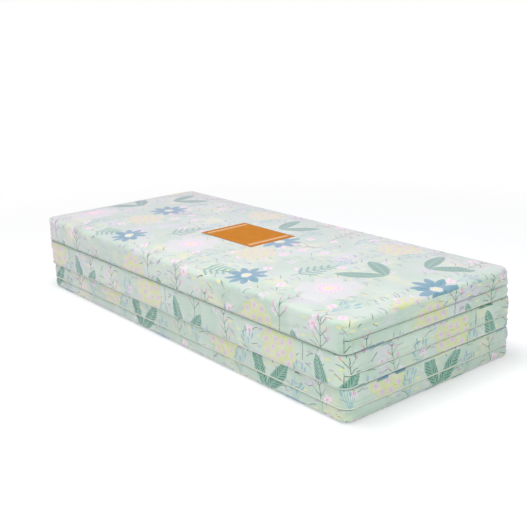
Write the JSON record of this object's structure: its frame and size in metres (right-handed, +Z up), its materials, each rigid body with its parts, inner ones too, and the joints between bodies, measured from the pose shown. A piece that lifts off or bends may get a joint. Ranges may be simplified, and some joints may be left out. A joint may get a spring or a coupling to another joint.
{
  "type": "folding mattress",
  "caption": "Tri-fold foam mattress in a zipped, wadded floral cover, folded in a Z stack; sewn hinges open it flat as a bed.",
  "frame": {"origin": "on the floor, under the middle of the folded stack", "axes": "+X along the panels, -Y the side where the top and middle panels are hinged, +Z up"},
  "size_m": [1.6, 0.675, 0.2766],
  "materials": {
    "printed_cloth": "pale mint cotton with a floral print, over thin wadding",
    "hem_cloth": "doubled and stitched cover cloth, cream in the light",
    "foam": "open-cell foam",
    "zip_tape": "woven polyester tape",
    "zip_coil": "satin nylon coil",
    "slider_metal": "satin grey die-cast zinc",
    "hinge_binding": "bound seam in the cover cloth, dark in its crease",
    "label": "orange woven patch with a stitched edge"
  },
  "bodies": {
    "bottom_panel": {"bottom_core": "foam", "bottom_upper_cover": "printed_cloth", "bottom_lower_cover": "printed_cloth", "bottom_zip_tape": "zip_tape", "bottom_zip_coil": "zip_coil", "bottom_zip_flap": "hem_cloth", "hinge_binding_far": "hinge_binding"},
    "middle_panel": {"middle_core": "foam", "middle_upper_cover": "printed_cloth", "middle_lower_cover": "printed_cloth", "middle_zip_tape_right": "zip_tape", "middle_zip_coil_right": "zip_coil", "middle_zip_flap_right": "hem_cloth", "middle_zip_tape_left": "zip_tape", "middle_zip_coil_left": "zip_coil", "middle_zip_flap_left": "hem_cloth", "hinge_binding_near": "hinge_binding"},
    "top_panel": {"top_core": "foam", "top_upper_cover": "printed_cloth", "top_lower_cover": "printed_cloth", "top_zip_tape": "zip_tape", "top_zip_coil": "zip_coil", "top_zip_flap": "hem_cloth", "label_patch": "label"},
    "bottom_slider": {"bottom_zip_slider": "slider_metal"},
    "middle_slider_right": {"middle_zip_slider_right": "slider_metal"},
    "middle_slider_left": {"middle_zip_slider_left": "slider_metal"},
    "top_slider": {"top_zip_slider": "slider_metal"}
  },
  "joints": [
    {"name": "far_hinge", "type": "hinge", "parent": "bottom_panel", "child": "middle_panel", "pos_m": [0, 0.3369, 0.09185], "axis": [-1, 0, 0], "range_deg": [0, 180]},
    {"name": "near_hinge", "type": "hinge", "parent": "middle_panel", "child": "top_panel", "pos_m": [0, -0.3369, 0.18385], "axis": [1, 0, 0], "range_deg": [0, 180]},
    {"name": "bottom_zip", "type": "slide", "parent": "bottom_panel", "child": "bottom_slider", "axis": [0, -1, 0], "range_m": [0, 0.581]},
    {"name": "middle_zip_right", "type": "slide", "parent": "middle_panel", "child": "middle_slider_right", "axis": [0, 1, 0], "range_m": [0, 0.589]},
    {"name": "middle_zip_left", "type": "slide", "parent": "middle_panel", "child": "middle_slider_left", "axis": [0, 1, 0], "range_m": [0, 0.589]},
    {"name": "top_zip", "type": "slide", "parent": "top_panel", "child": "top_slider", "axis": [0, 1, 0], "range_m": [0, 0.581]}
  ]
}
